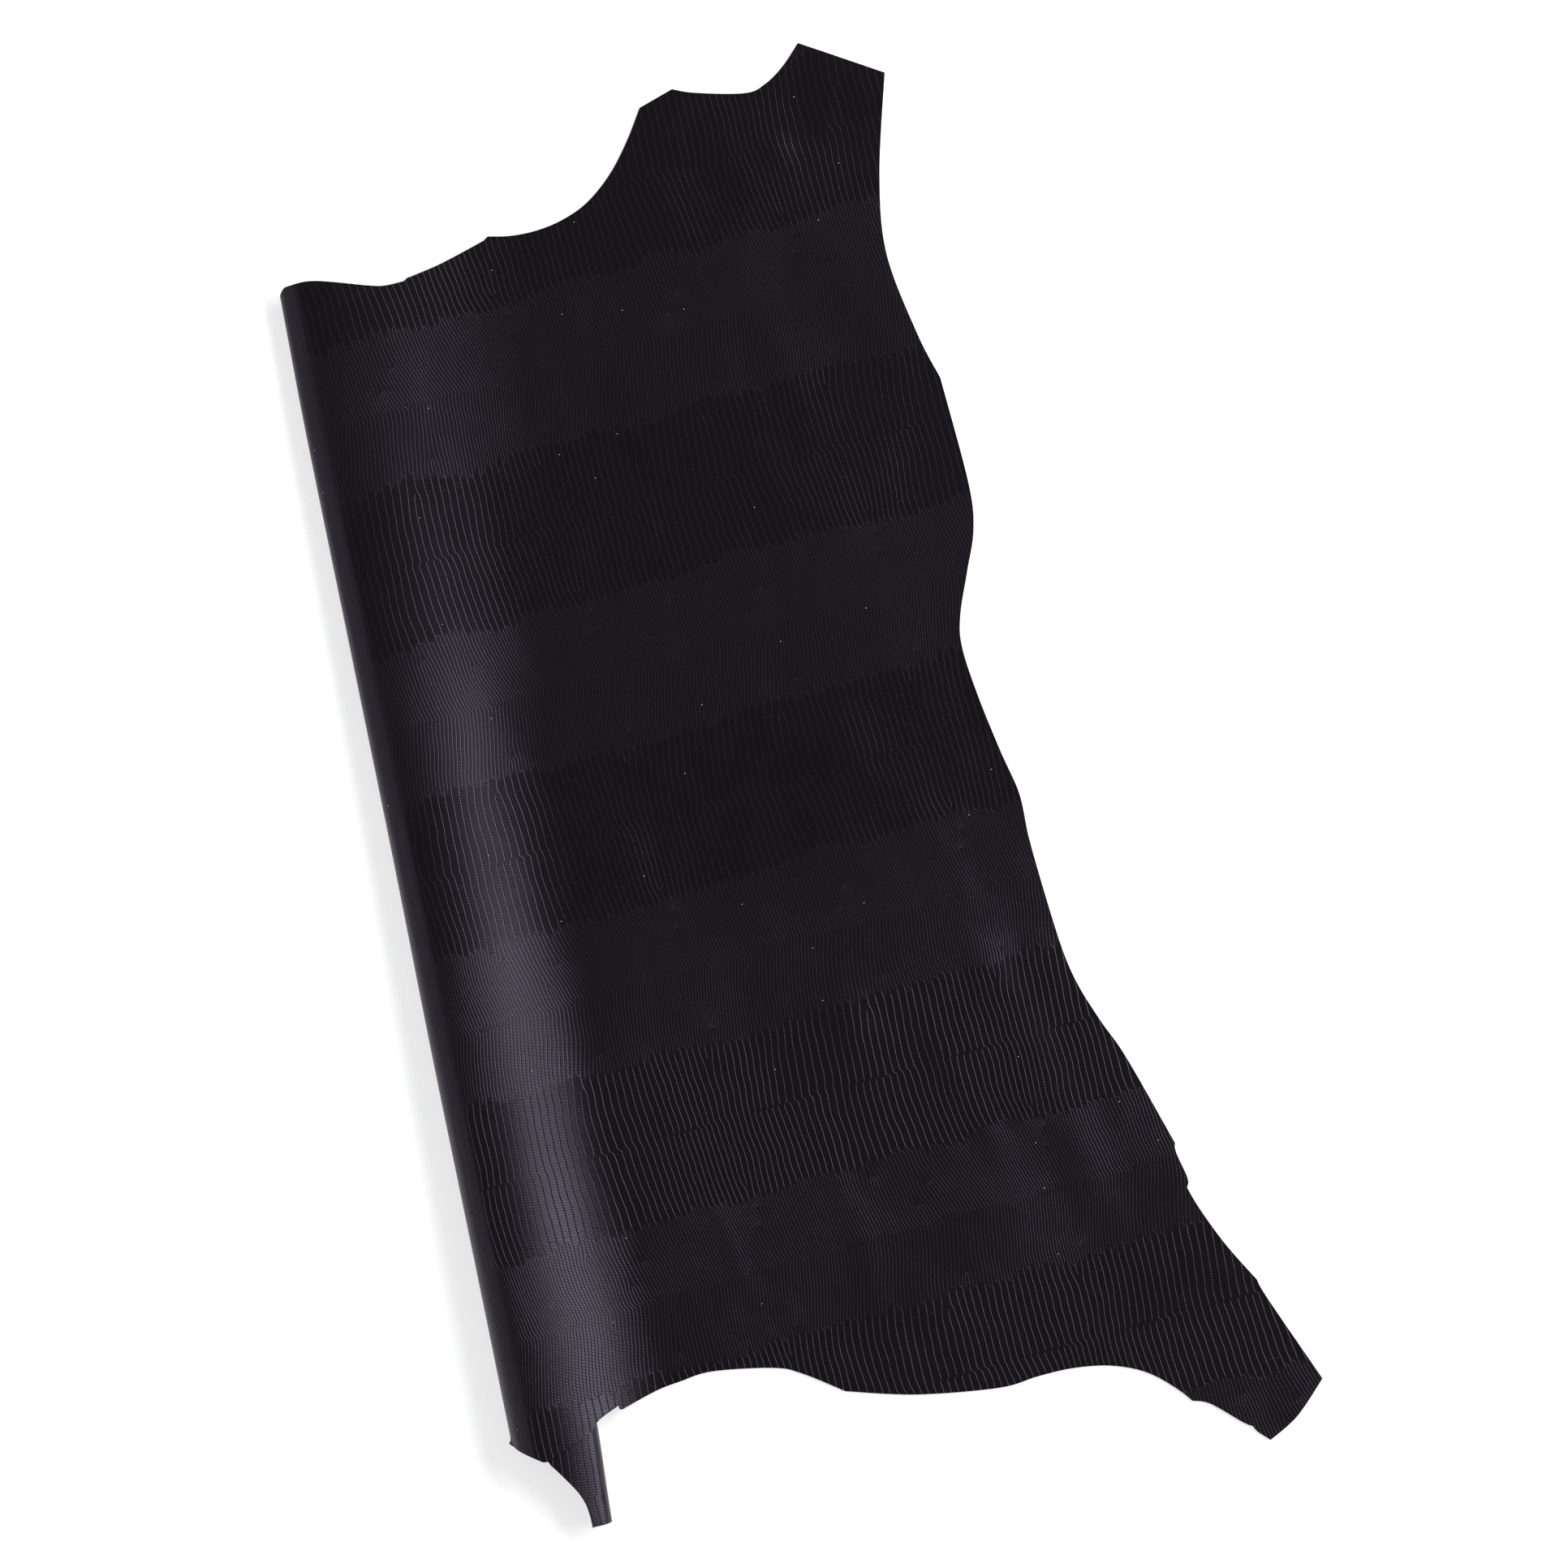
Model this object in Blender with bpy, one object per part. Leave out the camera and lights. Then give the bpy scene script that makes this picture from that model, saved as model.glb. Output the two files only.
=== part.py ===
"""A side of lizard-grain leather that lies grain up on a flat surface, its left side rolled under.

Metres, +Z up. +X points away from the roll and +Y toward the neck. The origin is on the resting
surface, under the middle of the hide.

The named sizes and the tables are in millimetres. "across" is measured in plan from the roll's outer
side, and "along" from the roll's neck end toward the butt.
"""

import math
from collections import namedtuple

import bpy
from mathutils import Vector
from mathutils.geometry import delaunay_2d_cdt

MM = 0.001

# The leather, and how far it reaches in plan
THICKNESS = 1.4
OUTER_SIDE = -2.0
LEG_CORNER = 596.0
NECK_TIP = -108.0
LEG_TIP = 973.3
LEATHER_COLOUR = (0.0103, 0.0098, 0.0130, 1.0)
LEATHER_ROUGHNESS = 0.4

# The roll: the leather turns down at its outer side, runs back along the floor, turns up at its
# inner side and ends as a lap just under the sheet. One row for each place along the roll: its outer
# side, the height of its crest, where the sheet comes down to the floor, its inner side and the
# radius of the turn there. The crest is OUTER_CURL in from the outer side all along. With a
# SLOPE_LEAN below 1, the slope from the crest to the floor is steepest nearer to the crest.
OUTER_CURL = 18.0
SLOPE_LEAN = 0.87
Section = namedtuple("Section", "along side height foot inner_side turn_radius")
ROLL_SECTIONS = (
    Section(along=-110.0, side=-0.5, height=17.5, foot=190.0, inner_side=62.0, turn_radius=6.1),
    Section(along=0.0, side=-0.9, height=18.0, foot=185.0, inner_side=62.0, turn_radius=6.3),
    Section(along=100.0, side=OUTER_SIDE, height=19.6, foot=168.0, inner_side=62.2, turn_radius=6.5),
    Section(along=290.0, side=-1.4, height=22.8, foot=140.0, inner_side=62.4, turn_radius=7.0),
    Section(along=420.0, side=-1.0, height=25.2, foot=131.0, inner_side=62.6, turn_radius=7.5),
    Section(along=580.0, side=-1.4, height=28.2, foot=127.0, inner_side=62.8, turn_radius=8.35),
    Section(along=750.0, side=-0.6, height=31.2, foot=126.0, inner_side=63.8, turn_radius=9.2),
    Section(along=860.0, side=-0.4, height=32.0, foot=125.0, inner_side=64.2, turn_radius=9.3),
    Section(along=940.0, side=-0.4, height=32.0, foot=125.0, inner_side=60.7, turn_radius=8.9),
)

# Low swells where the sheet doesn't lie quite flat: their middle, half-sizes and height
Swell = namedtuple("Swell", "across along half_across half_along height")
SWELLS = (
    Swell(across=470.0, along=-70.0, half_across=75.0, half_along=60.0, height=3.0),
    Swell(across=372.0, along=-22.0, half_across=70.0, half_along=60.0, height=2.0),
    Swell(across=440.0, along=72.0, half_across=80.0, half_along=75.0, height=2.5),
    Swell(across=300.0, along=612.0, half_across=75.0, half_along=85.0, height=2.4),
    Swell(across=392.0, along=640.0, half_across=70.0, half_along=150.0, height=2.2),
    Swell(across=470.0, along=690.0, half_across=80.0, half_along=95.0, height=2.6),
    Swell(across=530.0, along=800.0, half_across=75.0, half_along=90.0, height=4.2),
)

# The outline in plan, in four stretches. Runs between corners are smooth curves through their points.
CORNER = "corner"
SMOOTH = "smooth"
Edge = namedtuple("Edge", "across along kind")
NECK_EDGE = (
    Edge(-0.9, 1.6, CORNER),
    Edge(3.0, -3.7, SMOOTH),
    Edge(8.0, -5.2, SMOOTH),
    Edge(27.0, -5.0, SMOOTH),
    Edge(65.0, 5.9, SMOOTH),
    Edge(77.0, 8.2, SMOOTH),
    Edge(91.0, 7.6, CORNER),
    Edge(93.5, 5.9, CORNER),
    Edge(120.0, 0.1, SMOOTH),
    Edge(154.5, -10.6, CORNER),
    Edge(158.0, -13.1, CORNER),
    Edge(175.0, -10.2, SMOOTH),
    Edge(195.0, -10.4, SMOOTH),
    Edge(215.0, -14.4, SMOOTH),
    Edge(235.0, -23.3, SMOOTH),
    Edge(255.0, -39.8, SMOOTH),
    Edge(272.0, -60.8, SMOOTH),
    Edge(286.9, -84.1, CORNER),
    Edge(313.1, -92.9, CORNER),
    Edge(330.0, -86.7, SMOOTH),
    Edge(366.0, -79.3, SMOOTH),
    Edge(382.0, -83.4, SMOOTH),
    Edge(397.0, -93.7, SMOOTH),
    Edge(411.1, NECK_TIP, CORNER),
    Edge(469.6, -73.6, CORNER),
)
BELLY_EDGE = (
    Edge(450.9, 0.0, SMOOTH),
    Edge(444.5, 58.0, SMOOTH),
    Edge(455.1, 120.0, SMOOTH),
    Edge(465.4, 155.3, CORNER),
    Edge(470.4, 235.0, SMOOTH),
    Edge(467.3, 270.0, SMOOTH),
    Edge(456.4, 300.0, SMOOTH),
    Edge(445.3, 330.0, SMOOTH),
    Edge(441.8, 353.0, SMOOTH),
    Edge(446.0, 390.0, SMOOTH),
    Edge(454.5, 435.0, SMOOTH),
    Edge(461.8, 468.0, SMOOTH),
    Edge(462.3, 500.0, SMOOTH),
    Edge(464.6, 532.5, CORNER),
    Edge(469.9, 585.0, SMOOTH),
    Edge(476.3, 615.0, SMOOTH),
    Edge(487.6, 645.0, SMOOTH),
    Edge(500.7, 675.0, SMOOTH),
    Edge(523.5, 744.0, CORNER),
    Edge(522.8, 750.5, SMOOTH),
    Edge(527.2, 769.5, SMOOTH),
    Edge(527.2, 775.0, CORNER),
    Edge(525.7, 778.0, CORNER),
    Edge(531.6, 795.0, SMOOTH),
    Edge(545.4, 825.0, SMOOTH),
    Edge(562.9, 855.0, CORNER),
    Edge(567.8, 870.0, SMOOTH),
    Edge(LEG_CORNER, 936.3, CORNER),
    Edge(572.1, 960.0, SMOOTH),
    Edge(549.5, LEG_TIP, CORNER),
)
BUTT_EDGE = (
    Edge(541.0, 965.2, SMOOTH),
    Edge(538.5, 960.6, CORNER),
    Edge(532.0, 956.5, SMOOTH),
    Edge(511.0, 938.2, SMOOTH),
    Edge(498.5, 933.5, CORNER),
    Edge(490.0, 923.5, SMOOTH),
    Edge(475.0, 910.0, SMOOTH),
    Edge(460.0, 901.4, SMOOTH),
    Edge(440.0, 895.1, SMOOTH),
    Edge(415.0, 892.3, SMOOTH),
    Edge(390.0, 893.2, SMOOTH),
    Edge(360.0, 895.8, SMOOTH),
    Edge(300.0, 888.7, SMOOTH),
    Edge(248.5, 875.9, CORNER),
    Edge(220.0, 856.9, SMOOTH),
    Edge(200.0, 848.5, SMOOTH),
    Edge(155.0, 842.0, SMOOTH),
    Edge(131.0, 844.5, CORNER),
    Edge(112.0, 847.6, SMOOTH),
    Edge(84.2, 855.8, CORNER),
    Edge(82.8, 855.2, CORNER),
    Edge(82.2, 852.3, CORNER),
    Edge(66.0, 859.6, SMOOTH),
    Edge(57.6, 867.3, SMOOTH),
    Edge(34.3, 876.7, SMOOTH),
    Edge(23.0, 881.2, SMOOTH),
    Edge(16.0, 877.8, SMOOTH),
    Edge(3.0, 867.8, SMOOTH),
    Edge(-0.4, 860.5, SMOOTH),
)
# The rolled part: its butt end under the sheet, the hind leg that shows as a tongue, then the free
# edge of the lap, back to the neck
UNDER = "under"
LAP = "lap"
RolledEdge = namedtuple("RolledEdge", "layer across along kind")
ROLLED_EDGE = (
    RolledEdge(UNDER, 3.0, 857.0, SMOOTH),
    RolledEdge(UNDER, 12.0, 861.0, SMOOTH),
    RolledEdge(UNDER, 27.0, 877.0, SMOOTH),
    RolledEdge(UNDER, 38.0, 894.5, SMOOTH),
    RolledEdge(UNDER, 45.0, 909.0, SMOOTH),
    RolledEdge(UNDER, 49.0, 924.0, SMOOTH),
    RolledEdge(UNDER, 50.0, 934.0, CORNER),
    RolledEdge(LAP, 54.0, 936.0, SMOOTH),
    RolledEdge(LAP, 46.3, 935.5, CORNER),
    RolledEdge(LAP, 46.2, 928.0, SMOOTH),
    RolledEdge(LAP, 45.0, 919.0, SMOOTH),
    RolledEdge(LAP, 41.8, 910.0, SMOOTH),
    RolledEdge(LAP, 36.6, 901.0, SMOOTH),
    RolledEdge(LAP, 28.6, 889.0, SMOOTH),
    RolledEdge(LAP, 23.6, 881.0, SMOOTH),
    RolledEdge(LAP, 22.0, 866.0, SMOOTH),
    RolledEdge(LAP, 24.0, 830.0, SMOOTH),
    RolledEdge(LAP, 30.0, 660.0, SMOOTH),
    RolledEdge(LAP, 38.0, 420.0, SMOOTH),
    RolledEdge(LAP, 48.0, 240.0, SMOOTH),
    RolledEdge(UNDER, 52.0, 95.0, SMOOTH),
    RolledEdge(UNDER, 34.0, 40.0, SMOOTH),
    RolledEdge(UNDER, 10.0, 10.0, SMOOTH),
)

# How finely the leather is divided: columns across each part of the roll, the width of a column on
# the floor, the height of a row, the longest step along the edge, and how many columns a point of the
# grid keeps away from that edge
CURL_COLUMNS = 5
SLOPE_COLUMNS = 9
UNDER_COLUMNS = 3
TURN_COLUMNS = 7
LAP_COLUMNS = 4
FLAT_COLUMN = 31.0
ROW = 32.0
EDGE_STEP = 13.0
EDGE_STEP_COLUMNS = 0.7
EDGE_CLEARANCE = 0.42
ONLY_INSIDE_THE_OUTLINE = 1
SAME_POINT = 1e-5


def blend(before, start, end, after, share):
    """A smooth value between start and end, led by the values on both sides."""
    rise = (end - before) / 2
    fall = (after - start) / 2
    curve = 2 * start - 2 * end + rise + fall
    bend = 3 * end - 3 * start - 2 * rise - fall
    return ((curve * share + bend) * share + rise) * share + start


def roll_section(along):
    """The roll's sizes at one place along it."""
    last = len(ROLL_SECTIONS) - 1
    along = min(max(along, ROLL_SECTIONS[0].along), ROLL_SECTIONS[last].along)
    index = max(i for i in range(last) if ROLL_SECTIONS[i].along <= along)
    around = [ROLL_SECTIONS[min(max(i, 0), last)] for i in range(index - 1, index + 3)]
    share = (along - around[1].along) / (around[2].along - around[1].along)
    sizes = (blend(*values, share) for values in zip(*(row[1:] for row in around)))
    return Section(along, *sizes)


def crest_across(section):
    return section.side + THICKNESS / 2 + OUTER_CURL


def swell_height(across, along):
    """How far the swells lift the sheet off the floor."""
    lift = 0.0
    for swell in SWELLS:
        x = (across - swell.across) / swell.half_across
        y = (along - swell.along) / swell.half_along
        lift += swell.height * max(0.0, 1 - x * x - y * y) ** 2
    return lift


def sheet_height(across, along):
    """Height of the sheet's middle, from the roll's crest outward."""
    section = roll_section(along)
    crest = crest_across(section)
    share = min(max((across - crest) / (section.foot - crest), 0.0), 1.0)
    rolled = section.height * (1 + math.cos(math.pi * share**SLOPE_LEAN)) / 2
    return THICKNESS / 2 + rolled + swell_height(across, along)


def inner_turn(along):
    """Centre, radius and angle of the inner turn, which ends at the sheet's slope above it."""
    section = roll_section(along)
    centre = section.inner_side - THICKNESS / 2 - section.turn_radius
    run = section.foot - crest_across(section)
    share = (centre - crest_across(section)) / run
    steepness = math.pi * SLOPE_LEAN * section.height / (2 * run) * share ** (SLOPE_LEAN - 1)
    steepness *= math.sin(math.pi * share**SLOPE_LEAN)
    return centre, section.turn_radius, math.pi - math.atan(steepness)


def turn_point(along, share):
    """Across and height of the leather's middle, part of the way round the inner turn."""
    centre, radius, angle = inner_turn(along)
    across = centre + radius * math.sin(angle * share)
    return across, THICKNESS / 2 + radius * (1 - math.cos(angle * share))


def section_point(column, along):
    """Across and height of the leather's middle at one column of the roll's section."""
    section = roll_section(along)
    crest = crest_across(section)
    if abs(column) <= CURL_COLUMNS:
        angle = math.pi / 2 * column / CURL_COLUMNS
        rise = section.height * (1 + math.sin(angle)) / 2
        return crest - OUTER_CURL * math.cos(angle), THICKNESS / 2 + rise
    if column > CURL_COLUMNS + SLOPE_COLUMNS:
        across = section.foot + FLAT_COLUMN * (column - CURL_COLUMNS - SLOPE_COLUMNS)
        return across, sheet_height(across, along)
    if column > 0:
        across = crest + (section.foot - crest) * (column - CURL_COLUMNS) / SLOPE_COLUMNS
        return across, sheet_height(across, along)
    column = -column - CURL_COLUMNS
    if column <= UNDER_COLUMNS:
        run = inner_turn(along)[0] - crest
        return crest + run * column / UNDER_COLUMNS, THICKNESS / 2
    column -= UNDER_COLUMNS
    if column <= TURN_COLUMNS:
        return turn_point(along, column / TURN_COLUMNS)
    turn_across, turn_height = turn_point(along, 1.0)
    gap = sheet_height(turn_across, along) - turn_height
    across = turn_across + (crest - turn_across) * (column - TURN_COLUMNS) / LAP_COLUMNS
    return across, sheet_height(across, along) - gap


def curl_column(across, section):
    """The column of a point on the roll's outer quarter turn."""
    lean = (crest_across(section) - across) / OUTER_CURL
    return CURL_COLUMNS * math.acos(min(lean, 1.0)) / (math.pi / 2)


def sheet_column(across, along):
    """The column at which the sheet lies at one place in plan."""
    section = roll_section(along)
    crest = crest_across(section)
    if across < crest:
        return curl_column(across, section)
    if across < section.foot:
        return CURL_COLUMNS + SLOPE_COLUMNS * (across - crest) / (section.foot - crest)
    return CURL_COLUMNS + SLOPE_COLUMNS + (across - section.foot) / FLAT_COLUMN


def rolled_column(edge):
    """The column of a point on the rolled part's edge."""
    section = roll_section(edge.along)
    crest = crest_across(section)
    if edge.layer == UNDER and edge.across < crest:
        return -curl_column(edge.across, section)
    if edge.layer == UNDER:
        share = (edge.across - crest) / (inner_turn(edge.along)[0] - crest)
        return -CURL_COLUMNS - UNDER_COLUMNS * share
    turn_across = turn_point(edge.along, 1.0)[0]
    share = (turn_across - edge.across) / (turn_across - crest)
    return -CURL_COLUMNS - UNDER_COLUMNS - TURN_COLUMNS - LAP_COLUMNS * share


def smooth_edge(points, kinds, steps_between):
    """Points along the curve through the given points. It turns sharply at corners only."""
    curve = []
    for i in range(len(points) - 1):
        start, end = points[i], points[i + 1]
        before = start if kinds[i] == CORNER else points[i - 1]
        after = end if kinds[i + 1] == CORNER else points[i + 2]
        steps = steps_between(start, end)
        for step in range(steps):
            curve.append(Vector(blend(*values, step / steps) for values in zip(before, start, end, after)))
    return curve


def sheet_outline():
    """The sheet's edge in columns and rows, from the roll's neck end round to its butt end."""
    edges = NECK_EDGE + BELLY_EDGE + BUTT_EDGE
    points = [Vector((edge.across, edge.along)) for edge in edges]
    kinds = [edge.kind for edge in edges[:-1]] + [CORNER]

    def steps_between(start, end):
        columns = abs(sheet_column(*start) - sheet_column(*end))
        return max(1, math.ceil((end - start).length / EDGE_STEP), math.ceil(columns / EDGE_STEP_COLUMNS))

    curve = smooth_edge(points, kinds, steps_between)
    return [Vector((sheet_column(*point), -point.y / ROW)) for point in curve]


def rolled_outline():
    """The rolled part's edge in columns and rows, from the roll's butt end back to its neck end."""
    points = [Vector((rolled_column(edge), -edge.along / ROW)) for edge in ROLLED_EDGE]
    first = Vector((0.0, -BUTT_EDGE[-1].along / ROW))
    last = Vector((0.0, -NECK_EDGE[0].along / ROW))
    kinds = [CORNER] + [edge.kind for edge in ROLLED_EDGE] + [CORNER]

    def steps_between(start, end):
        return max(1, math.ceil((end - start).length / EDGE_STEP_COLUMNS))

    return smooth_edge([first] + points + [last], kinds, steps_between)


def clear_of_edge(point, outline):
    """True where a point is inside the outline and not close to it."""
    inside = False
    for start, end in zip(outline, outline[1:] + outline[:1]):
        side = end - start
        share = min(max((point - start).dot(side) / side.length_squared, 0.0), 1.0)
        if (point - start - side * share).length < EDGE_CLEARANCE:
            return False
        if (start.y > point.y) != (end.y > point.y):
            crossing = start.x + side.x * (point.y - start.y) / side.y
            inside ^= crossing > point.x
    return inside


def grid_points(outline):
    """Every place inside the outline where a column meets a row."""
    columns = range(math.floor(min(p.x for p in outline)), math.ceil(max(p.x for p in outline)))
    rows = range(math.floor(min(p.y for p in outline)), math.ceil(max(p.y for p in outline)))
    places = (Vector((column, row)) for column in columns for row in rows)
    return [place for place in places if clear_of_edge(place, outline)]


def placed(point):
    """A point of the hide in metres, from its column and row."""
    along = -point.y * ROW
    across, height = section_point(point.x, along)
    return Vector((across - (OUTER_SIDE + LEG_CORNER) / 2, (NECK_TIP + LEG_TIP) / 2 - along, height)) * MM


def leather_material():
    material = bpy.data.materials.new("black leather")
    material.use_nodes = True
    shader = material.node_tree.nodes["Principled BSDF"]
    shader.inputs["Base Color"].default_value = LEATHER_COLOUR
    shader.inputs["Roughness"].default_value = LEATHER_ROUGHNESS
    shader.inputs["Metallic"].default_value = 0.0
    return material


def make_hide():
    outline = sheet_outline() + rolled_outline()
    sides = [(i, (i + 1) % len(outline)) for i in range(len(outline))]
    points = outline + grid_points(outline)
    points, _, faces, *_ = delaunay_2d_cdt(points, sides, [], ONLY_INSIDE_THE_OUTLINE, SAME_POINT)
    mesh = bpy.data.meshes.new("hide")
    mesh.from_pydata([placed(point) for point in points], [], faces)
    mesh.shade_smooth()
    mesh.materials.append(leather_material())
    hide = bpy.data.objects.new("hide", mesh)
    bpy.context.scene.collection.objects.link(hide)
    leather = hide.modifiers.new("leather thickness", "SOLIDIFY")
    leather.thickness = THICKNESS * MM
    leather.offset = 0.0
    leather.use_even_offset = True
    return hide


def main():
    for thing in list(bpy.data.objects):
        bpy.data.objects.remove(thing, do_unlink=True)
    make_hide()


main()
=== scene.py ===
"""A side of black lizard-grain leather. It lies grain up, with its left side rolled under."""

import math
from collections import namedtuple
from functools import lru_cache

import bmesh
import bpy
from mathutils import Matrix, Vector, noise
from mathutils.geometry import delaunay_2d_cdt
from mathutils.kdtree import KDTree


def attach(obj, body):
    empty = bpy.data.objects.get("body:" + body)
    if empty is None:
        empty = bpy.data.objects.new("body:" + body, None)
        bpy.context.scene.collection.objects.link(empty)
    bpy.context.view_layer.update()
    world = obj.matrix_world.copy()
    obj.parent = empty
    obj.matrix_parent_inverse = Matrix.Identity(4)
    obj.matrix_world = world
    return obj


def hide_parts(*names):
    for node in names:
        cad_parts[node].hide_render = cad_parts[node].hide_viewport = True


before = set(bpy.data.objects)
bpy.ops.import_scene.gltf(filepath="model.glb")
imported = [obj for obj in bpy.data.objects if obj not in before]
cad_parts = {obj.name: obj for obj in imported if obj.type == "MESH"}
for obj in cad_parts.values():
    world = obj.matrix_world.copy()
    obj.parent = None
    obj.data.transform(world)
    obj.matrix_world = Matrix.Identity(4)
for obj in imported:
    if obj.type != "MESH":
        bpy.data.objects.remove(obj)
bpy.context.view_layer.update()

# ---------------------------------------------------------------------------------------------------
# The hide. A whole side of drum-dyed calf, 1.4 mm thick, cut by hand round neck, belly and legs. The
# grain side is up. The left side is rolled under, and a hind leg comes out of the roll's butt end.
# "across" is measured from the roll's outer side and "along" from its neck end, in millimetres.

MM = 0.001
THICKNESS = 1.4
OUTER_SIDE = -2.0
LEG_CORNER = 596.0
NECK_TIP = -108.0
LEG_TIP = 973.3
MIDDLE_ACROSS = (OUTER_SIDE + LEG_CORNER) / 2
MIDDLE_ALONG = (NECK_TIP + LEG_TIP) / 2

# The width in plan of the roll's rounded outer side, and how full its long slope is: at 1 the slope
# is an even wave, and below 1 it falls away sooner
OUTER_CURL = 18.0
SLOPE_LEAN = 0.93
# The roll at places along it. The foot is where its long slope ends on the floor. Inner side and turn
# radius are of the turn inside it, where the leather goes back under itself.
Section = namedtuple("Section", "along side height foot inner_side turn_radius")
ROLL_SECTIONS = (
    Section(along=-110.0, side=-0.5, height=17.5, foot=190.0, inner_side=62.0, turn_radius=6.1),
    Section(along=0.0, side=-0.9, height=18.0, foot=185.0, inner_side=62.0, turn_radius=6.3),
    Section(along=100.0, side=OUTER_SIDE, height=19.6, foot=168.0, inner_side=62.2, turn_radius=6.5),
    Section(along=290.0, side=-1.4, height=22.8, foot=140.0, inner_side=62.4, turn_radius=7.0),
    Section(along=420.0, side=-1.0, height=25.2, foot=131.0, inner_side=62.6, turn_radius=7.5),
    Section(along=580.0, side=-1.4, height=28.2, foot=127.0, inner_side=62.8, turn_radius=8.35),
    Section(along=750.0, side=-0.6, height=31.2, foot=126.0, inner_side=63.8, turn_radius=9.2),
    Section(along=860.0, side=-0.4, height=32.0, foot=125.0, inner_side=64.2, turn_radius=9.3),
    Section(along=940.0, side=-0.4, height=32.0, foot=125.0, inner_side=60.7, turn_radius=8.9),
)

# Low swells where the sheet doesn't lie quite flat: their middle, half-sizes and height
Swell = namedtuple("Swell", "across along half_across half_along height")
SWELLS = (
    Swell(across=470.0, along=-70.0, half_across=75.0, half_along=60.0, height=3.0),
    Swell(across=372.0, along=-22.0, half_across=70.0, half_along=60.0, height=2.0),
    Swell(across=440.0, along=72.0, half_across=80.0, half_along=75.0, height=2.5),
    Swell(across=300.0, along=612.0, half_across=75.0, half_along=85.0, height=2.4),
    Swell(across=392.0, along=640.0, half_across=70.0, half_along=150.0, height=2.2),
    Swell(across=470.0, along=690.0, half_across=80.0, half_along=95.0, height=2.6),
    Swell(across=530.0, along=800.0, half_across=75.0, half_along=90.0, height=4.2),
)

# Smaller dents and soft creases in it, which the plain solid leaves out
DENTS = (
    Swell(across=380.0, along=-32.0, half_across=17.0, half_along=17.0, height=1.2),
    Swell(across=310.0, along=612.0, half_across=24.0, half_along=32.0, height=1.7),
    Swell(across=411.0, along=596.0, half_across=24.0, half_along=34.0, height=1.6),
    Swell(across=420.0, along=690.0, half_across=22.0, half_along=30.0, height=1.4),
    Swell(across=286.0, along=372.0, half_across=34.0, half_along=30.0, height=0.7),
    Swell(across=165.0, along=455.0, half_across=34.0, half_along=46.0, height=0.5),
    Swell(across=340.0, along=410.0, half_across=34.0, half_along=40.0, height=1.2),
    Swell(across=318.0, along=820.0, half_across=30.0, half_along=36.0, height=1.1),
    Swell(across=455.0, along=600.0, half_across=20.0, half_along=44.0, height=1.1),
)
Crease = namedtuple("Crease", "across along end_across end_along half height")
CREASES = (
    Crease(across=154.0, along=600.0, end_across=206.0, end_along=850.0, half=8.0, height=0.5),
    Crease(across=352.0, along=600.0, end_across=398.0, end_along=730.0, half=15.0, height=1.1),
    Crease(across=410.0, along=556.0, end_across=486.0, end_along=868.0, half=26.0, height=1.2),
    Crease(across=262.0, along=640.0, end_across=300.0, end_along=905.0, half=16.0, height=0.7),
    Crease(across=350.0, along=90.0, end_across=362.0, end_along=190.0, half=20.0, height=0.6),
    Crease(across=228.0, along=180.0, end_across=240.0, end_along=262.0, half=18.0, height=0.5),
    Crease(across=430.0, along=-105.0, end_across=415.0, end_along=-30.0, half=14.0, height=0.9),
)
# Slow ripples all over the sheet, longer along the hide than across it
RIPPLE_WIDTH = 30.0
RIPPLE_LENGTH = 75.0
RIPPLE_RISE = 0.45

# The outline in plan. Runs between corners are smooth curves through their points.
CORNER = "corner"
SMOOTH = "smooth"
Edge = namedtuple("Edge", "across along kind")
NECK_EDGE = (
    Edge(-0.9, 1.6, CORNER),
    Edge(3.0, -3.7, SMOOTH),
    Edge(8.0, -5.2, SMOOTH),
    Edge(27.0, -5.0, SMOOTH),
    Edge(65.0, 5.9, SMOOTH),
    Edge(77.0, 8.2, SMOOTH),
    Edge(91.0, 7.6, CORNER),
    Edge(93.5, 5.9, CORNER),
    Edge(120.0, 0.1, SMOOTH),
    Edge(154.5, -10.6, CORNER),
    Edge(158.0, -13.1, CORNER),
    Edge(175.0, -10.2, SMOOTH),
    Edge(195.0, -10.4, SMOOTH),
    Edge(215.0, -14.4, SMOOTH),
    Edge(235.0, -23.3, SMOOTH),
    Edge(255.0, -39.8, SMOOTH),
    Edge(272.0, -60.8, SMOOTH),
    Edge(286.9, -84.1, CORNER),
    Edge(313.1, -92.9, CORNER),
    Edge(330.0, -86.7, SMOOTH),
    Edge(366.0, -79.3, SMOOTH),
    Edge(382.0, -83.4, SMOOTH),
    Edge(397.0, -93.7, SMOOTH),
    Edge(411.1, NECK_TIP, CORNER),
    Edge(469.6, -73.6, CORNER),
)
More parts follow.
